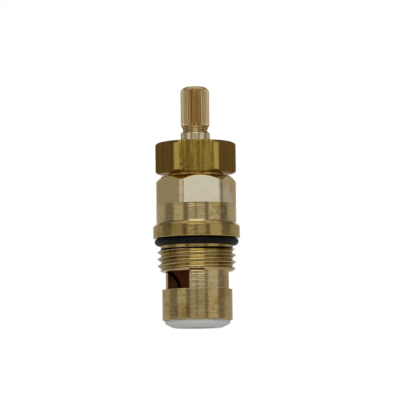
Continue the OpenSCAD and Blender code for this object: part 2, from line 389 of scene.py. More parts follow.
def milled_brass(net, place, angle, cloud, speck, stain):
    """Colour of the spanner flats: pale and golden by turns, with one corner rubbed bare."""
    tint = net.noise(place, (2.6, 2.6, 2.6), 2.0, 0.5)
    pale = net.mix(rgba(1.0, 0.87, 0.70), rgba(0.94, 0.93, 0.65), net.ramp(tint, 0.38, 0.62))
    colour = net.mix(rgba(0.77, 0.58, 0.29), pale, alternate_flats(net, angle, FLATS_TURN))
    bare = spot_mask(net, place, cloud, (5.4, -7.9, 33.6), 4.0)
    colour = net.mix(colour, rgba(0.93, 0.85, 0.68), bare * 0.5)
    return net.mix(colour, rgba(0.60, 0.44, 0.22), stain * 0.08 + net.ramp(speck, 0.45, 0.75) * 0.1)


def thread_brass(net, z, radius, angle, sideways, speck):
    """Colour of the thread: painted shade under each crest, a painted highlight above it, and a pale band on
    the crest itself that is partly rubbed wear and partly painted highlight.

    The highlight above each crest shows only at the front and back, and painted shade makes the sides
    darker than the front and back.
    """
    turns = (z - PIPE_PHASE) / PIPE_PITCH - angle / (2 * math.pi)
    below_crest = 1 - net.math("FRACT", turns)
    # Painted shade on the lower flank under each crest, and a painted highlight on the upper flank above it
    low_flank = net.band(below_crest, 0.06, 0.4, 0.04)
    high_flank = net.band(below_crest, 0.46, 0.86, 0.05)
    # A pale band on the crest: painted highlight, partly rubbed wear
    crest = 1 - net.band(below_crest, 0.035, 0.965, 0.02)
    crest = crest * net.ramp(radius, THREAD_R - 0.25, THREAD_R - 0.1)
    # Darker towards the sides, away from the front and back: painted shade
    colour = net.mix(rgba(0.75, 0.60, 0.32), rgba(0.46, 0.335, 0.135), net.ramp(sideways, 0.02, 0.25))
    colour = net.mix(colour, rgba(0.32, 0.225, 0.065), low_flank * 0.85)
    # The painted highlight on the upper flanks shows only at the front and back
    colour = net.mix(colour, rgba(1.0, 0.88, 0.52), high_flank * (1 - sideways) ** 8 * 0.95)
    return net.mix(colour, rgba(0.98, 0.90, 0.72), crest * net.ramp(speck, 0.4, 0.6) * 0.9)


def painted_cut_shade(net, z, radius, round_off, sideways):
    """Painted shade: 1 in the relief groove over the thread and in the hollow under its lower end, else 0.
    """
    sway = net.math("SINE", round_off * 2)
    over_low = net.ramp(z - sideways * RELIEF_RUN + sway * RELIEF_SWAY, RELIEF_Z - 0.03, RELIEF_Z + 0.03)
    over_high = net.ramp(z - sideways * LAND_RUN - sway * LAND_SWAY, LAND_Z - 0.03, LAND_Z + 0.03)
    relief = over_low * (1 - over_high) * net.ramp(radius, CHAMBER_R, CHAMBER_R + 0.1)
    at_hollow = net.band(z, THREAD_Z, THREAD_Z + 0.2, 0.02)
    hollow = at_hollow * (1 - net.ramp(radius, HOLLOW_R + 0.06, HOLLOW_R + 0.2))
    return net.math("MAXIMUM", relief, hollow)


def water_stains(net, place, cloud, speck):
    """How deeply the body is stained: a dried ring over the flange, three smears, and a drip on the cup.

    Each smear has its middle, its reach and its strength.
    """
    ring_mark = (2.3, -10.35, 30.3)
    flange_smear = ((-9.1, -7.1, 25.6), 2.4, 0.6)
    flat_smear = ((7.2, -6.4, 36.4), 1.5, 0.3)
    port_smear = ((4.6, -8.0, 10.6), 3.6, 0.35)
    drip_mark = (-7.4, -5.6, 4.2)
    ring = spot_mask(net, place, cloud, ring_mark, 2.3) - spot_mask(net, place, cloud, ring_mark, 1.1) * 0.6
    stain = ring * (0.35 + 0.5 * net.ramp(speck, 0.4, 0.6))
    for middle, reach, strength in (flange_smear, flat_smear, port_smear):
        smear = spot_mask(net, place, cloud, middle, reach) * strength
        stain = net.math("MAXIMUM", stain, smear)
    drip = spot_mask(net, place, cloud, drip_mark, 2.4)
    drip = drip * (0.45 + 0.55 * net.band(cloud, 0.46, 0.54, 0.03))
    return net.math("MAXIMUM", stain, drip)


def body_finish():
    """Turned and milled brass: pale milled flats, a golden thread, turning marks and brown water stains."""
    material, net, place = finish_net("turned_brass")
    x, y, z = split_place(net, place)
    radius, angle = around_axis(net, x, y)
    round_off = angle - FRONT_SIDE
    sideways = 1 - net.math("ABSOLUTE", net.math("COSINE", round_off))
    marks = net.noise(place, (0.08, 0.08, 2.0), 1.0, 0.5)
    dashes = net.noise(place, (0.26, 0.26, 3.8), 1.0, 0.5)
    cloud = net.noise(place, (0.34, 0.34, 0.42), 4.0, 0.62)
    speck = net.noise(place, (2.4, 2.4, 2.4), 3.0, 0.6)
    stain = net.ramp(cloud, 0.52, 0.64)
    dots = net.ramp(speck, 0.66, 0.74) * net.ramp(cloud, 0.42, 0.6)
    score = net.ramp(dashes * 0.5 + marks * 0.5, 0.46, 0.34)

    edge_z = NECK_Z - FLATS_EDGE
    below_edge = net.ramp(ROUND_R + edge_z - z - radius, 0.03, 0.12)
    above_round = net.ramp(z, FLATS_Z, FLATS_Z + 0.05)
    neck = net.ramp(z, NECK_Z - 0.06, NECK_Z - 0.02)
    flat = above_round * below_edge * net.ramp(ROUND_R - radius, 0.015, 0.05) * (1 - neck)
    slope = net.ramp(z, edge_z - 0.05, edge_z + 0.05) * (1 - below_edge)
    thread = net.band(z, THREAD_Z + 0.1, RELIEF_Z, 0.1)
    flange = net.band(z, RELIEF_Z, ROUND_Z - 0.2, 0.15)
    cup = 1 - net.ramp(z, THREAD_Z - 0.2, THREAD_Z)
    post = net.band(z, SILL_Z, THREAD_Z, 0.4)
    lip = 1 - net.ramp(z, RIM_Z + 0.2, RIM_Z + 0.3)
    in_bore = 1 - net.ramp(radius, CHAMBER_R + 0.08, CHAMBER_R + 0.2)
    inside = in_bore * (1 - net.ramp(z, RING_Z - 0.3, RING_Z))

    cup_brass = net.mix(rgba(0.61, 0.43, 0.17), rgba(0.45, 0.29, 0.075), stain)
    flange_brass = net.mix(rgba(0.55, 0.38, 0.12), rgba(0.40, 0.24, 0.06), stain * 0.7)
    colour = net.mix(rgba(0.72, 0.55, 0.25), rgba(0.56, 0.39, 0.13), stain * 0.8)
    colour = net.mix(colour, cup_brass, cup * 0.7)
    colour = net.mix(colour, rgba(0.94, 0.80, 0.47), above_round * 0.95)
    colour = net.mix(colour, rgba(0.88, 0.75, 0.50), net.ramp(dashes, 0.5, 0.7) * 0.3 + post * 0.2)
    colour = net.mix(colour, rgba(0.40, 0.29, 0.12), score * 0.4)
    colour = net.mix(colour, rgba(0.36, 0.25, 0.10), lip * 0.2)
    colour = net.mix(colour, flange_brass, flange * 0.85)
    colour = net.mix(colour, thread_brass(net, z, radius, angle, sideways, speck), thread * 0.95)
    # Near black in the relief groove and the hollow under the thread: painted shade
    colour = net.mix(colour, rgba(0.012, 0.008, 0.004), painted_cut_shade(net, z, radius, round_off, sideways))
    colour = net.mix(colour, rgba(0.74, 0.49, 0.11), net.math("MAXIMUM", slope, neck))
    colour = net.mix(colour, milled_brass(net, place, angle, cloud, speck, stain), flat)
    colour = net.mix(colour, rgba(0.34, 0.21, 0.06), dots * 0.35)
    colour = net.mix(colour, rgba(0.33, 0.19, 0.045), water_stains(net, place, cloud, speck) * 0.85)
    colour = net.mix(colour, rgba(0.50, 0.20, 0.07), inside)
    rough = 0.09 + 0.09 * cloud + 0.04 * marks + flat * 0.28 + thread * 0.03 + inside * 0.4
    turned = (1 - flat) * (1 - thread * 0.85) * (1 - cup * 0.35 + post)
    relief = (marks + dashes * 0.8) * turned + speck * flat * 0.15 + cloud * 0.6
    close_finish(
        net,
        {"Base Color": colour, "Roughness": rough, "Normal": net.bump(relief, 1.0, 0.024)},
        {"Metallic": 1.0},
    )
    return material


def nut_finish():
    """Drawn hexagon bar: olive brass with upright draw lines and dark pits, every other flat darker."""
    material, net, place = finish_net("drawn_brass")
    x, y, z = split_place(net, place)
    radius, angle = around_axis(net, x, y)
    lines = net.noise(place, (1.1, 1.1, 0.04), 3.0, 0.65)
    fine_lines = net.noise(place, (6.0, 6.0, 0.1), 2.0, 0.6)
    cloud = net.noise(place, (0.35, 0.35, 0.3), 3.0, 0.6)
    pits = net.noise(place, (1.5, 1.5, 1.4), 1.0, 0.5)
    rust = net.ramp(cloud, 0.46, 0.62)
    tarnish = net.ramp(lines * 0.8 + cloud * 0.2, 0.42, 0.58)

    corner = net.ramp(radius, NUT_R - 0.1, NUT_R - 0.04)
    ends = 1 - net.ramp(radius, NUT_HALF - 0.2, NUT_HALF - 0.05)
    sides = (1 - corner) * (1 - ends)
    pit = net.ramp(pits, 0.66, 0.70) * sides
    # Every other flat is darker and rustier; the flat facing the front stays light
    dull = (1 - alternate_flats(net, angle, NUT_TURN)) * sides
    off = net.math("WRAP", angle - NUT_TURN, math.pi / 6, -math.pi / 6)
    off_flat = 1 - net.ramp(radius * net.math("COSINE", off), NUT_HALF - 0.06, NUT_HALF - 0.02)
    # Painted shade on the nut's lower bevel and underside, where it faces the body's hexagon
    foot = off_flat * (1 - net.ramp(z, NUT_Z + 0.2, NUT_Z + 0.6))
    front_flat = NUT_TURN + math.radians(240)
    along = y * math.cos(front_flat) - x * math.sin(front_flat)
    draw_line = net.band(along, -2.48, -2.25, 0.06) * (1 - net.ramp(y, 0, 1))

    dull_brass = net.mix(rgba(0.165, 0.092, 0.022), rgba(0.23, 0.115, 0.03), rust)
    colour = net.mix(rgba(0.45, 0.32, 0.065), rgba(0.245, 0.155, 0.023), tarnish)
    colour = net.mix(colour, rgba(0.16, 0.10, 0.02), draw_line * 0.9)
    colour = net.mix(colour, dull_brass, dull * 0.85)
    colour = net.mix(colour, rgba(0.25, 0.13, 0.025), net.ramp(cloud, 0.56, 0.68) * (1 - dull) * 0.5)
    colour = net.mix(colour, rgba(0.76, 0.54, 0.13), corner * 0.95)
    colour = net.mix(colour, rgba(0.46, 0.29, 0.07), ends * 0.6)
    colour = net.mix(colour, rgba(0.10, 0.06, 0.02), pit * 0.9)
    # Painted shade on the lower bevel
    colour = net.mix(colour, rgba(0.22, 0.12, 0.03), foot * 0.85)
    rough = 0.2 + 0.12 * lines + 0.1 * tarnish + 0.1 * dull
    relief = lines * 1.2 + fine_lines * 0.3 - pit * 1.4
    close_finish(
        net,
        {"Base Color": colour, "Roughness": rough, "Normal": net.bump(relief, 1.0, 0.015)},
        {"Metallic": 1.0, "Specular Tint": rgba(0.95, 0.8, 0.55)},
    )
    return material


def spindle_finish():
    """Bright brass: pale on the stem, ringed on the waist, brown in the spline's grooves and at its front.

    The waist's rings carry painted shade in their grooves. The rotor in the chamber is a red-brown
    tarnish darkened further by painted shade, with painted black shade on its edges as seen from the front.
    """
    material, net, place = finish_net("spindle_brass")
    x, y, z = split_place(net, place)
    radius, angle = around_axis(net, x, y)
    to_front = net.math("COSINE", angle - FRONT_SIDE)
    marks = net.noise(place, (0.5, 0.5, 3.0), 2.0, 0.6)
    cloud = net.noise(place, (0.7, 0.7, 0.5), 3.0, 0.6)
    streak = net.noise(place, (1.2, 1.2, 0.12), 2.0, 0.6)
    grain = net.noise(place, (4.5, 4.5, 3.0), 2.0, 0.6)
    # Painted shade in the grooves of the turned rings on the waist: 1 in a groove, 0 on a ridge
    rings = net.ramp(net.math("SINE", (z - CONE_Z) * (2 * math.pi / MARK_PITCH)), 0.6, -0.4)

    splined = net.ramp(z, CONE_Z - 0.1, CONE_Z + 0.2)
    toothed = net.ramp(z, SPLINE_Z - 0.35, SPLINE_Z - 0.1) * (1 - net.ramp(z, CROWN_Z, TOP_Z - 0.5))
    groove = (1 - net.ramp(radius, SPLINE_R - 0.34, SPLINE_R - 0.05)) * toothed
    # Darker brown on the front of the spline
    front_brown = net.ramp(radius * to_front + streak * 0.5, 3.2, 4.0) * splined
    waist = net.band(z, STEM_TOP_Z - 0.2, SPLINE_Z - 0.3, 0.1)
    in_chamber = 1 - net.ramp(z, SHOULDER_Z + 0.5, SHOULDER_Z + 2.5)
    # Painted black shade on the rotor's edges as seen from the front, on both sides
    limb_shade = net.band(to_front, -0.1, 0.53, 0.1)

    # Light on the rings' ridges and painted shade in their grooves
    ring_shaded_brass = net.mix(rgba(0.90, 0.69, 0.37), rgba(0.46, 0.30, 0.11), rings)
    # Red-brown tarnish darkened by painted shade, and painted black shade on the edges
    shaded_rotor_brass = net.mix(rgba(0.16, 0.05, 0.016), rgba(0.004, 0.002, 0.001), limb_shade)
    colour = net.mix(rgba(0.96, 0.80, 0.49), rgba(0.85, 0.68, 0.38), net.ramp(cloud, 0.4, 0.7))
    colour = net.mix(colour, rgba(0.97, 0.77, 0.44), splined)
    colour = net.mix(colour, rgba(0.60, 0.41, 0.19), net.ramp(grain, 0.5, 0.72) * splined * 0.55)
    colour = net.mix(colour, rgba(0.72, 0.45, 0.17), groove * 0.65)
    colour = net.mix(colour, rgba(0.38, 0.19, 0.03), front_brown * 0.9)
    colour = net.mix(colour, ring_shaded_brass, waist)
    colour = net.mix(colour, shaded_rotor_brass, in_chamber)
    rough = 0.1 + 0.08 * cloud + 0.16 * splined * (1 - waist) + 0.45 * in_chamber
    relief = marks * 0.4 * (1 - splined) + grain * 0.4 * splined + cloud * 0.3
    close_finish(
        net,
        {"Base Color": colour, "Roughness": rough, "Normal": net.bump(relief, 1.0, 0.01)},
        {"Metallic": 1.0, "Specular Tint": rgba(0.4, 0.3, 0.2)},
    )
    return material


def rubber_finish():
    """Satin black nitrile with faint grey dust."""
    material, net, place = finish_net("black_nitrile")
    dust = net.noise(place, (1.2, 1.2, 1.2), 4.0, 0.65)
    grain = net.noise(place, (9.0, 9.0, 9.0), 2.0, 0.5)
    colour = net.mix(rgba(0.003, 0.003, 0.0035), rgba(0.008, 0.008, 0.009), net.ramp(dust, 0.5, 0.8))
    close_finish(
        net,
        {"Base Color": colour, "Roughness": 0.36 + 0.2 * dust, "Normal": net.bump(grain, 0.1, 0.02)},
        {"Specular IOR Level": 0.16},
    )
    return material


def seal_finish():
    """Pale grey-white silicone, slightly cloudy, with a soft dull gloss."""
    material, net, place = finish_net("white_silicone")
    cloud = net.noise(place, (0.5, 0.5, 0.8), 3.0, 0.6)
    grain = net.noise(place, (6.0, 6.0, 6.0), 2.0, 0.5)
    colour = net.mix(rgba(0.79, 0.79, 0.785), rgba(0.85, 0.85, 0.845), cloud)
    close_finish(
        net,
        {"Base Color": colour, "Roughness": 0.45 + 0.15 * cloud, "Normal": net.bump(grain, 0.01, 0.02)},
        {"Subsurface Weight": 0.35, "Subsurface Radius": (MM, MM, MM), "Subsurface Scale": 1.0},
    )
    return material


def ceramic_finish():
    """Lapped white alumina: near white, fine grain, smooth."""
    material, net, place = finish_net("white_alumina")
    grain = net.noise(place, (4.0, 4.0, 4.0), 3.0, 0.6)
    colour = net.mix(rgba(0.74, 0.73, 0.69), rgba(0.80, 0.80, 0.77), grain)
    close_finish(
        net,
        {"Base Color": colour, "Roughness": 0.22 + 0.12 * grain, "Normal": net.bump(grain, 0.04, 0.02)},
        {},
    )
    return material


def clip_finish():
    """Spring steel with a light brushed haze."""
    material, net, place = finish_net("spring_steel")
    haze = net.noise(place, (1.5, 1.5, 6.0), 3.0, 0.6)
    colour = net.mix(rgba(0.42, 0.42, 0.41), rgba(0.56, 0.555, 0.54), haze)
    close_finish(
        net,
        {"Base Color": colour, "Roughness": 0.28 + 0.14 * haze, "Normal": net.bump(haze, 0.08, 0.02)},
        {"Metallic": 1.0},
    )
    return material


def slip_finish():
    """Natural ivory plastic, smooth and slightly waxy."""
    material, net, place = finish_net("ivory_plastic")
    cloud = net.noise(place, (1.0, 1.0, 2.0), 3.0, 0.6)
    colour = net.mix(rgba(0.60, 0.57, 0.48), rgba(0.68, 0.65, 0.56), cloud)
    close_finish(net, {"Base Color": colour, "Roughness": 0.4 + 0.1 * cloud}, {})
    return material


def rounded(corners, steps=4):
    """Points along a profile whose corners (r, z, radius) are rounded by arcs.

    Each arc runs between the points where it touches the two straight lines, and takes up two fifths of
    each at most. It is a rational curve of the second degree whose middle weight is the cosine of half the
    turn, which makes it round. A point a little way along each line from there keeps the lines' shading
    straight. The first and last corners stay as they are.
    """
    corner = np.array(corners, float)
    points = [corner[0, :2]]
    for before, here, after in zip(corner[:-2], corner[1:-1], corner[2:]):
        into = here[:2] - before[:2]
        away = after[:2] - here[:2]
        into_len = np.hypot(*into)
        away_len = np.hypot(*away)
        into = into / into_len
        away = away / away_len
        turn = math.acos(float(np.clip(into @ away, -1, 1)))
        reach = here[2] * math.tan(turn / 2)
        reach = min(reach, 0.4 * into_len, 0.4 * away_len)
        if reach < 1e-6:
            points.append(here[:2])
            continue
        start = here[:2] - into * reach
        end = here[:2] + away * reach
        side = min(0.05, 0.1 * into_len, 0.1 * away_len)
        t = np.linspace(0, 1, steps + 1)[:, None]
        weight = math.cos(turn / 2)
        top = (1 - t) ** 2 * start + 2 * t * (1 - t) * weight * here[:2] + t ** 2 * end
        arc = top / ((1 - t) ** 2 + 2 * t * (1 - t) * weight + t ** 2)
        points.append(start - into * side)
        points.extend(arc)
        points.append(end + away * side)
    points.append(corner[-1, :2])
    return np.array(points)


def hexagon_angles(half, radius, turn, on_flat=40, on_corner=8):
    """Angles round a hexagon with rounded corners, so that grid lines lie on the edges of the flats.

    A flat reaches the angle whose cosine is half over radius on each side of its middle.
    """
    reach = math.acos(half / radius)
    flat = np.linspace(-reach, reach, on_flat, endpoint=False)
    corner = np.linspace(reach, math.pi / 3 - reach, on_corner, endpoint=False)
    one = np.concatenate([flat, corner])
    return (turn + np.arange(6)[:, None] * math.pi / 3 + one[None, :]).ravel()


def hexagon_reach(angles, half, radius, turn):
    """Distance of the hexagon's side from the axis at each angle: the nearer of the flat and the round."""
    off = (angles - turn + math.pi / 6) % (math.pi / 3) - math.pi / 6
    return np.minimum(half / np.cos(off), radius)


def ring_rows(profile, angles):
    """Rows of a turned profile: every point keeps its radius and height at all angles."""
    ones = np.ones(len(angles))
    return np.outer(profile[:, 0], ones), np.outer(profile[:, 1], ones)


def helix_drop(z, angles):
    """How far the pipe thread's side lies below its crest, on a grid of heights and angles.

    The crest line climbs one pitch a turn. The height from the nearest crest, as a share of half a pitch,
    is softened at the crest and again at the root, which leaves straight flanks between a sharp crest and
    a round root.
    """
    turns = (z - PIPE_PHASE) / PIPE_PITCH - angles[None, :] / (2 * math.pi)
    away = 2 * np.abs(turns - np.round(turns))
    from_root = 1 - (np.hypot(away, PIPE_TIP) - PIPE_TIP)
    lift = (np.hypot(from_root, PIPE_ROOT) - PIPE_ROOT) / (math.hypot(1, PIPE_ROOT) - PIPE_ROOT)
    return PIPE_DEPTH * (1 - lift)


def mesh_piece(name, vertices, faces, finish, sharp=SHARP):
    """A mesh object from arrays of places in millimetres and of corner numbers, with doubles merged."""
    data = bpy.data.meshes.new(name)
    data.from_pydata((vertices * MM).tolist(), [], faces.tolist())
    work = bmesh.new()
    work.from_mesh(data)
    bmesh.ops.remove_doubles(work, verts=work.verts, dist=SAME_CORNER)
    bmesh.ops.dissolve_degenerate(work, edges=work.edges, dist=NO_WIDTH)
    work.to_mesh(data)
    work.free()
    piece = bpy.data.objects.new(name, data)
    bpy.context.scene.collection.objects.link(piece)
    data.materials.append(finish)
    smooth(data, sharp)
    return piece


def smooth(data, sharp):
    """Smooth shading, with edges over the angle given left sharp."""
    data.polygons.foreach_set("use_smooth", np.ones(len(data.polygons), bool))
    data.set_sharp_from_angle(angle=math.radians(sharp))
    data.update()


def lathe(rows_r, rows_z, angles, closed):
    """Places and faces of rows carried round the axis: (r cos a, r sin a, z) for each row and angle.

    Rows run up the outside and down the inside, which points every face outwards.
    """
    rows, columns = rows_r.shape
    places = np.stack([rows_r * np.cos(angles), rows_r * np.sin(angles), rows_z], axis=-1).reshape(-1, 3)
    number = np.arange(rows * columns).reshape(rows, columns)
    if closed:
        number = np.concatenate([number, number[:1]], axis=0)
    right = np.roll(number, -1, axis=1)
    faces = np.stack([number[:-1], right[:-1], right[1:], number[1:]], axis=-1).reshape(-1, 4)
    return places, faces


def lathe_parts(parts, angles, closed):
    """One lathed surface from parts that follow each other, each a pair of its radii and its heights."""
    rows_r = np.concatenate([part[0] for part in parts])
    rows_z = np.concatenate([part[1] for part in parts])
    return lathe(rows_r, rows_z, angles, closed)


def block(low, high):
    """Places and faces of a box between two corners."""
    x, y, z = np.meshgrid(*[np.array([a, b], float) for a, b in zip(low, high)], indexing="ij")
    places = np.stack([x, y, z], axis=-1).reshape(-1, 3)
    faces = np.array([[0, 1, 3, 2], [4, 6, 7, 5], [0, 4, 5, 1], [2, 3, 7, 6], [0, 2, 6, 4], [1, 5, 7, 3]])
    return places, faces


def box_cutter(name, low, high):
    """A box object between two corners, for cutting."""
    places, faces = block(low, high)
    data = bpy.data.meshes.new(name)
    data.from_pydata((places * MM).tolist(), [], faces.tolist())
    made = bpy.data.objects.new(name, data)
    bpy.context.scene.collection.objects.link(made)
    return made


def cut_away(piece, cutters):
    """Cuts boxes out of a piece, keeps the result as its mesh and removes the boxes."""
    for cutter in cutters:
        change = piece.modifiers.new("cut", "BOOLEAN")
        change.operation = "DIFFERENCE"
        change.solver = "EXACT"
        change.object = cutter
    bpy.context.view_layer.update()
    seen = piece.evaluated_get(bpy.context.evaluated_depsgraph_get())
    result = bpy.data.meshes.new_from_object(seen)
    piece.modifiers.clear()
    piece.data = result
    for cutter in cutters:
        bpy.data.objects.remove(cutter)
    smooth(result, SHARP)


def thread_rows(angles):
    """Rows from the top of the cup over the pipe thread and its relief groove to the land under the O-ring.

    The thread is cut back by a slope at its lower end, where a short hollow is cut over one side. Above
    the thread lies the relief groove, deepest at the front and back and run out at the sides, and then
    the land.
    """
    low_z = PORT_TOP_Z - 0.18
    z = np.outer(np.linspace(low_z, RING_Z - 0.12, 200), np.ones(len(angles)))
    thread = np.minimum(THREAD_R - helix_drop(z, angles), THREAD_R - PIPE_START + (z - THREAD_Z))

    over = np.clip((np.cos(angles - HOLLOW_SIDE) - math.cos(HOLLOW_REACH)) / HOLLOW_SOFT, 0, 1)
    bend = np.clip((z - low_z) / (THREAD_Z - low_z), 0, 1)
    side = np.where(z < THREAD_Z, CUP_R - HOLLOW_DIP * over * bend ** 2, thread)
    wall = np.clip(np.abs(z - HOLLOW_Z) - HOLLOW_HALF, 0, 1) * HOLLOW_STEEP
    side = np.minimum(side, HOLLOW_R + wall + HOLLOW_RISE * (1 - over))

    facing = np.abs(np.cos(angles - FRONT_SIDE))
    sway = np.sin(2 * (angles - FRONT_SIDE))
    low_edge = RELIEF_Z + RELIEF_RUN * (1 - facing) - RELIEF_SWAY * sway
    high_edge = LAND_Z + LAND_RUN * (1 - facing) + LAND_SWAY * sway
    groove = LAND_R - (LAND_R - RELIEF_R) * np.clip(RELIEF_WIDE * facing, 0, 1)
    side = np.minimum(side, groove + RELIEF_LIP + (low_edge - z) * RELIEF_STEEP)
    land = groove + np.clip((z - high_edge) / LAND_SOFT, 0, 1) * (LAND_R - groove)
    share = np.clip((z - low_edge) / RELIEF_SOFT, 0, 1)
    return side + share * (land - side), z


def hexagon_rows(reach, low_z, high_z, soft):
    """Rows up a hexagon's side, from low_z to the edge at high_z, which is given for every angle.

    The last two rows lie a little inside the side, which softens its upper edge.
    """
    share = np.array(FLATS_ROWS)[:, None]
    tuck = np.zeros_like(share)
    tuck[-1] = 0.25 * soft
    tuck[-2] = 0.06 * soft
    return reach - tuck, low_z + share * (high_z - low_z)


def body_piece(finish):
    """The valve body: one closed turned surface with the thread and the flats worked into its radius.

    Over the flats a cone of 45 degrees runs in to the neck, so its edge is highest in the middle of a flat.
    The ports and the keyways are cut out of the finished surface.
    """
    angles = hexagon_angles(FLATS_HALF, ROUND_R, FLATS_TURN)
    cup = rounded([
        (CHAMBER_R, SHOULDER_Z, 0),
        (CHAMBER_R, RIM_Z, 0.12),
        (CUP_R - CUP_EDGE, RIM_Z, 0.08),
        (CUP_R, RIM_Z + CUP_EDGE, 0.1),
        (CUP_R, PORT_TOP_Z - 0.2, 0),
    ])
    shaft = rounded([
        (LAND_R, RING_Z - 0.1, 0),
        (LAND_R, RING_Z, 0.08),
        (GROOVE_R, RING_Z, 0.08),
        (GROOVE_R, FLANGE_Z, 0.12),
        (FLANGE_R - FLANGE_EDGE, FLANGE_Z, 0.04),
        (FLANGE_R, FLANGE_Z + FLANGE_EDGE, 0.06),
        (FLANGE_R, ROUND_Z - FLANGE_CONE, 0.14),
        (ROUND_R, ROUND_Z, 0.7),
        (ROUND_R, FLATS_Z, 0),
    ])

    reach = hexagon_reach(angles, FLATS_HALF, ROUND_R, FLATS_TURN)
    edge_z = NECK_Z - FLATS_EDGE + ROUND_R - reach
    top_r = ROUND_R - FLATS_EDGE
    share = np.array(BEVEL_ROWS)[:, None]
    bevel = (reach + share * (top_r - reach), edge_z + share * (NECK_Z - edge_z))

    neck = rounded([
        (top_r, NECK_Z, 0),
        (NECK_R, NECK_Z, 0.1),
        (NECK_R, NECK_TOP_Z - NECK_EDGE, 0.08),
        (NECK_R - NECK_EDGE, NECK_TOP_Z, 0.08),
        (STEM_R + TURN_ROOM, NECK_TOP_Z, 0.08),
        (STEM_R + TURN_ROOM, STEM_HOLE_Z, 0),
        (BARREL_R + TURN_ROOM, STEM_HOLE_Z, 0),
        (BARREL_R + TURN_ROOM, SHOULDER_Z, 0),
        (CHAMBER_R - 0.3, SHOULDER_Z, 0),
    ])
    parts = [
        ring_rows(cup, angles),
        thread_rows(angles),
        ring_rows(shaft, angles),
        hexagon_rows(reach, FLATS_Z, edge_z, 0.08),
        bevel,
        ring_rows(neck, angles),
    ]
    places, faces = lathe_parts(parts, angles, True)
    piece = mesh_piece("turned_body", places, faces, finish)
    cut_away(piece, [
        box_cutter("port_cut_a", (PORT_FACE, -CUT_Y, SILL_Z), (CUT_X, CUT_Y, PORT_TOP_Z)),
        box_cutter("port_cut_b", (-CUT_X, -CUT_Y, SILL_Z), (-PORT_FACE, CUT_Y, PORT_TOP_Z)),
        box_cutter("key_cut_a", (-KEY_HALF, KEY_IN, RIM_Z - 1), (KEY_HALF, KEY_OUT, KEY_TOP_Z)),
        box_cutter("key_cut_b", (-KEY_HALF, -KEY_OUT, RIM_Z - 1), (KEY_HALF, -KEY_IN, KEY_TOP_Z)),
    ])
    return piece


def nut_piece(finish):
    """The lock nut: a turned ring whose side follows a hexagon between two rounded end bevels.

    At each angle a bevel is a quarter of an ellipse, from the end face out to the hexagon's side. The rows
    start and end on the wall of the hole.
    """
    angles = hexagon_angles(NUT_HALF, NUT_R, NUT_TURN)
    reach = hexagon_reach(angles, NUT_HALF, NUT_R, NUT_TURN)
    inner = np.minimum(reach - 0.08, NUT_FACE_R)
    low_rise = (reach - inner) * NUT_LOW_SLOPE
    top_rise = (reach - inner) * NUT_TOP_SLOPE
    hole_r = NECK_R + TURN_ROOM
    face_r = NUT_HALF - 0.2
    under = rounded([
        (hole_r, NUT_Z + 3, 0),
        (hole_r, NUT_Z + NUT_EDGE, 0.1),
        (hole_r + NUT_EDGE, NUT_Z, 0.1),
        (face_r, NUT_Z, 0),
    ])
    over = rounded([
        (face_r, NUT_TOP_Z, 0),
        (hole_r + NUT_EDGE, NUT_TOP_Z, 0.1),
        (hole_r, NUT_TOP_Z - NUT_EDGE, 0.1),
        (hole_r, NUT_Z + 4, 0),
    ])
    bend = np.linspace(0, math.pi / 2, 9)[:-1, None]
    out = np.sin(bend)
    lift = 1 - np.cos(bend)
    up = np.array(NUT_ROWS)[:, None]
    side_h = NUT_TOP_Z - NUT_Z - low_rise - top_rise
    parts = [
        ring_rows(under, angles),
        (inner + out * (reach - inner), NUT_Z + lift * low_rise),
        (np.ones_like(up) * reach, NUT_Z + low_rise + up * side_h),
        (inner + out[::-1] * (reach - inner), NUT_TOP_Z - lift[::-1] * top_rise),
        ring_rows(over, angles),
    ]
    places, faces = lathe_parts(parts, angles, True)
    return mesh_piece("drawn_lock_nut", places, faces, finish)


def groove_corners(outer, floor, low_z, height, soft, floor_soft):
    """Corners of a groove in a turned profile, upwards, with the roundings of its rims and of its floor."""
    return [
        (outer, low_z, soft),
        (floor, low_z, floor_soft),
        (floor, low_z + height, floor_soft),
        (outer, low_z + height, soft),
    ]


def spline_rows(angles, off):
    """Rows of the spindle's end from waist to top. Off is how far each angle lies from a tooth's middle.

    A tooth's side is a smooth step down from tip to root. The teeth give way to the cone, whose turned rings
    are a sine of the height, and to the crown, which falls off like an ellipse, wherever these lie nearer
    the axis. The grooves between the teeth run out at the top of the cone.
    """
    heights = np.concatenate([
        np.linspace(STEM_TOP_Z + 0.19, SPLINE_Z + 0.2, 52),
        np.linspace(SPLINE_Z + 0.5, CROWN_Z - 0.3, 14),
        np.linspace(CROWN_Z - 0.1, TOP_Z - 0.01, 30),
    ])
    cone = WAIST_R + np.clip(heights - CONE_Z, 0, None) * (SPLINE_R - WAIST_R) / (SPLINE_Z - CONE_Z)
    fade = np.clip((SPLINE_Z - 0.15 - heights) / 0.1, 0, 1)
    cone = cone - fade * MARK_DEPTH * (1 - np.sin((heights - CONE_Z) * (2 * math.pi / MARK_PITCH)))
    lift = np.clip((heights - CROWN_Z) / (TOP_Z - CROWN_Z), 0, 1)
    crown = SPLINE_R - CROWN_W * (1 - np.sqrt(np.clip(1 - lift ** CROWN_BEND, 0, 1)))
    limit = np.minimum(cone, crown)[:, None]

    rise = np.clip((TOOTH_ROOT - off) / (TOOTH_ROOT - TOOTH_TIP), 0, 1)
    cut = TOOTH_DEPTH * (1 - (rise * rise * (3 - 2 * rise)) ** TOOTH_BEND)
    run_out = np.clip((heights - SPLINE_Z + RUN_OUT_DROP) / RUN_OUT_H, 0, 1) ** 0.5
    tooth = SPLINE_R - np.outer(run_out, cut)
    gap = np.clip((limit - tooth) / TOOTH_SOFT, -1, 1)
    side = np.minimum(limit, tooth) - TOOTH_SOFT * 0.25 * (1 - np.abs(gap)) ** 2
    return side, np.outer(heights, np.ones(len(angles)))


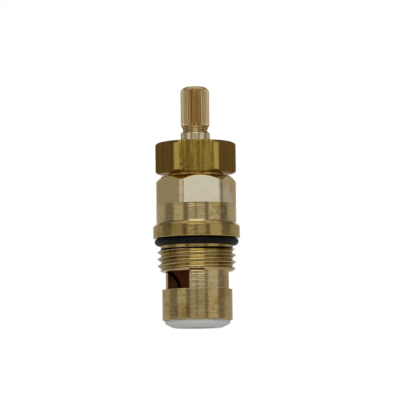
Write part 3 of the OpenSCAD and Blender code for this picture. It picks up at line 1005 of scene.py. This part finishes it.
def spindle_piece(finish):
    """The spindle: a turned profile, the splined end, and the drive blade as a box under the foot.

    The rotor's hollow curve is an arc of a circle whose middle is level with the foot. The columns stand at
    the same shares of a pitch on every tooth, closest together on its sides.
    """
    half = np.array(TOOTH_COLUMNS)
    share = np.concatenate([[-0.5], -half[::-1], [0], half])
    angles = ((np.arange(TEETH)[:, None] + share[None, :]) * 2 * math.pi / TEETH).ravel()
    off = np.tile(np.abs(share), TEETH)

    bend = np.linspace(math.pi, math.pi - math.acos((COVE_MID_R - ROTOR_R) / COVE_R), 26)
    cove = np.stack([COVE_MID_R + COVE_R * np.cos(bend), FOOT_Z + COVE_R * np.sin(bend)], axis=-1)
    foot = np.array([[0, FOOT_Z], [FOOT_R, FOOT_Z]])
    barrel_top_z = STEM_HOLE_Z - 0.3
    shaft = rounded([
        (ROTOR_R, FOOT_Z + COVE_H, 0),
        (ROTOR_R, ROTOR_TOP_Z, 0.15),
        (BARREL_R, ROTOR_TOP_Z, 0.1),
        *groove_corners(BARREL_R, SEAL_FLOOR_R, LOW_SEAL_Z, SEAL_GROOVE_H, 0.05, 0),
        *groove_corners(BARREL_R, SEAL_FLOOR_R, HIGH_SEAL_Z, SEAL_GROOVE_H, 0.05, 0),
        (BARREL_R, barrel_top_z, 0.1),
        (STEM_R, barrel_top_z, 0.1),
        *groove_corners(STEM_R, CLIP_FLOOR_R, CLIP_Z, CLIP_H, 0.02, 0.02),
        (STEM_R, STEM_TOP_Z - STEM_EDGE, 0.12),
        (STEM_R - STEM_EDGE, STEM_TOP_Z, 0.1),
        (WAIST_R, STEM_TOP_Z, 0.12),
        (WAIST_R, STEM_TOP_Z + 0.16, 0),
    ])
    hole = rounded([
        (SPLINE_R - CROWN_W, TOP_Z, 0),
        (SCREW_MOUTH_R, TOP_Z, 0.05),
        (SCREW_R, TOP_Z + SCREW_R - SCREW_MOUTH_R, 0.05),
        (SCREW_R, TOP_Z - SCREW_DEPTH, 0),
        (0, TOP_Z - SCREW_DEPTH - SCREW_TIP, 0),
    ])
    parts = [
        ring_rows(np.concatenate([foot, cove, shaft]), angles),
        spline_rows(angles, off),
        ring_rows(hole, angles),
    ]
    places, faces = lathe_parts(parts, angles, False)
    blade, blade_faces = block(
        (-BLADE_X, -BLADE_Y, FOOT_Z - BLADE_DROP), (BLADE_X, BLADE_Y, FOOT_Z + BLADE_ROOT)
    )
    faces = np.concatenate([faces, blade_faces + len(places)])
    return mesh_piece("splined_spindle", np.concatenate([places, blade]), faces, finish)


def oring_piece(finish):
    """The flange O-ring: a circle, squeezed in height, carried round the axis.

    The moulding line is a faint ridge round its outside, in the shape of a bell curve.
    """
    around = np.linspace(0, 2 * math.pi, 240, endpoint=False)
    across = np.linspace(-math.pi, math.pi, 56, endpoint=False)
    ridge = O_RING_LINE * np.exp(-(across / 0.1) ** 2)
    half = O_RING_HALF - O_RING_LINE + ridge
    squeeze = np.where(across > 0, O_RING_UP, O_RING_DOWN) / O_RING_HALF
    out = O_RING_R + half * np.cos(across)
    up = O_RING_Z + squeeze * half * np.sin(across)
    profile = np.stack([out, up], axis=-1)
    places, faces = lathe(*ring_rows(profile, around), around, True)
    return mesh_piece("flange_o_ring", places, faces, finish, sharp=80)


def seal_piece(finish):
    """The seat seal: a soft-cornered ring, its collar inside the cup and its lip below.

    The profile starts and ends on the wall of the hole.
    """
    around = np.linspace(0, 2 * math.pi, 240, endpoint=False)
    wall_z = 2.0
    profile = rounded([
        (SEAL_HOLE_R, wall_z, 0),
        (SEAL_HOLE_R, SEAL_Z, 0.4),
        (SEAL_FACE_R, SEAL_Z, 0.9),
        (SEAL_LIP_R, SEAL_Z + SEAL_LIP_H, 0.6),
        (SEAL_RIM_R, RIM_Z, 0.06),
        (SEAL_COLLAR_R, RIM_Z, 0.03),
        (SEAL_COLLAR_R, SEAL_TOP_Z, 0.2),
        (SEAL_HOLE_R, SEAL_TOP_Z, 0.3),
        (SEAL_HOLE_R, wall_z + 0.2, 0),
    ], 6)
    places, faces = lathe(*ring_rows(profile, around), around, True)
    return mesh_piece("silicone_seat_seal", places, faces, finish, sharp=60)


def pose_camera():
    """The photograph's camera: slightly below and to the left, rolled so that the spindle leans left."""
    back = Vector((
        math.sin(VIEW_AZ) * math.cos(VIEW_EL),
        -math.cos(VIEW_AZ) * math.cos(VIEW_EL),
        math.sin(VIEW_EL),
    ))
    right = Vector((math.cos(VIEW_AZ), math.sin(VIEW_AZ), 0))
    up = back.cross(right)
    aim = Vector((0, 0, VIEW_AIM_Z * MM)) + right * VIEW_AIM_SIDE * MM
    side = right * math.cos(VIEW_ROLL) - up * math.sin(VIEW_ROLL)
    top = up * math.cos(VIEW_ROLL) + right * math.sin(VIEW_ROLL)
    data = bpy.data.cameras.new("photo_camera")
    data.sensor_width = VIEW_SENSOR
    data.lens = VIEW_LENS
    data.clip_start = 0.01
    camera = bpy.data.objects.new("photo_camera", data)
    bpy.context.scene.collection.objects.link(camera)
    place = aim + back * VIEW_DISTANCE
    camera.matrix_world = Matrix((
        (side.x, top.x, back.x, place.x),
        (side.y, top.y, back.y, place.y),
        (side.z, top.z, back.z, place.z),
        (0, 0, 0, 1),
    ))
    bpy.context.scene.camera = camera


def studio():
    """Soft studio surroundings: tall pale panels with dimmer gaps, a bright ceiling and a white background.

    Turn and rise are in degrees, round from the photograph's side and up from the horizon.
    """
    world = bpy.data.worlds.new("studio")
    world.use_nodes = True
    world.node_tree.nodes.clear()
    bpy.context.scene.world = world
    net = Net(world.node_tree)
    aim = net.node("ShaderNodeTexCoord", None, None, "Generated")
    x, y, z = split_place(net, aim)
    ahead = x * math.sin(VIEW_AZ) - y * math.cos(VIEW_AZ)
    across = x * math.cos(VIEW_AZ) + y * math.sin(VIEW_AZ)
    turn = net.math("ARCTAN2", across, ahead) * (180 / math.pi)
    rise = net.math("ARCSINE", z) * (180 / math.pi)
    away = net.math("ABSOLUTE", turn)

    high = net.ramp(rise, 22, 32)
    ceiling = net.ramp(rise, 50, 62)
    front = net.band(turn, -23, 25, 2)
    front_gap = net.band(turn, -4, 1, 1.5)
    front_head = front * net.band(rise, 10, 48, 2)
    panels = net.band(turn, -68, -37, 3) * 0.3 + net.band(turn, 36, 72, 3) * 0.34
    gaps = net.band(away, 26, 35, 2)
    rear = net.ramp(away, 92, 112)
    level = 0.2 + panels * (1 - high) + front * 0.15 + rear * 0.22 - gaps * 0.05 - front_gap * 0.26
    level = level * (1 - high * net.ramp(away, 26, 40) * 0.6) + front_head
    level = level * (1 - ceiling) + ceiling * (0.6 + 0.6 * front)

    seen = net.node("ShaderNodeLightPath", None, None, "Is Camera Ray")
    glossy = net.node("ShaderNodeLightPath", None, None, "Is Glossy Ray")
    through = net.node("ShaderNodeLightPath", None, None, "Is Transmission Ray")
    behind = net.ramp(away, 158, 168) * (1 - net.ramp(net.math("ABSOLUTE", rise), 30, 50))
    white = net.math("MAXIMUM", seen, behind * net.math("MAXIMUM", glossy, through))
    strength = level * (1 - white) + white
    light = net.node("ShaderNodeBackground", None, {"Color": rgba(1, 1, 1), "Strength": strength})
    net.node("ShaderNodeOutputWorld", None, {"Surface": light})


def floor_piece():
    """A pale floor round the seal, clear from below, because the photograph looks up past its edge.

    It is open under the seal's flat face, which the photograph shows in the light.
    """
    around = np.linspace(0, 2 * math.pi, 64, endpoint=False)
    flat = np.array([[FLOOR_R, FLOOR_Z], [FLOOR_HOLE_R, FLOOR_Z]])
    places, faces = lathe(*ring_rows(flat, around), around, False)
    data = bpy.data.meshes.new("floor")
    data.from_pydata((places * MM).tolist(), [], faces.tolist())
    floor = bpy.data.objects.new("floor", data)
    bpy.context.scene.collection.objects.link(floor)
    material = bpy.data.materials.new("pale_floor")
    material.use_nodes = True
    material.node_tree.nodes.clear()
    net = Net(material.node_tree)
    under = net.node("ShaderNodeNewGeometry", None, None, "Backfacing")
    pale = net.node("ShaderNodeBsdfDiffuse", None, {"Color": rgba(0.85, 0.85, 0.85)})
    glow = net.node("ShaderNodeEmission", None, {"Color": rgba(1, 1, 1), "Strength": 0.15})
    lit = net.node("ShaderNodeAddShader", None, {0: pale, 1: glow})
    clear = net.node("ShaderNodeBsdfTransparent", None, {"Color": rgba(1, 1, 1)})
    shown = net.node("ShaderNodeMixShader", None, {0: under, 1: lit, 2: clear})
    net.node("ShaderNodeOutputMaterial", None, {"Surface": shown})
    data.materials.append(material)


def dress_node(name, finish):
    """Gives a CAD node that stays in view its finish."""
    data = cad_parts[name].data
    data.materials.clear()
    data.materials.append(finish)


brass = body_finish()
rubber = rubber_finish()
ceramic = ceramic_finish()

body = body_piece(brass)
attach(body, "body")
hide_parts("valve_body")

nut = nut_piece(nut_finish())
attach(nut, "nut")
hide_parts("lock_nut")

spindle = spindle_piece(spindle_finish())
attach(spindle, "spindle_group")
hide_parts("spindle")

oring = oring_piece(rubber)
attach(oring, "body")
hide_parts("flange_oring")

seal = seal_piece(seal_finish())
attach(seal, "body")
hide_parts("seat_seal")

dress_node("upper_disc", ceramic)
dress_node("lower_disc", ceramic)
dress_node("spindle_circlip", clip_finish())
dress_node("slip_washer", slip_finish())
dress_node("upper_spindle_oring", rubber)
dress_node("lower_spindle_oring", rubber)

floor_piece()
studio()
pose_camera()
bpy.context.scene.view_settings.view_transform = "Standard"
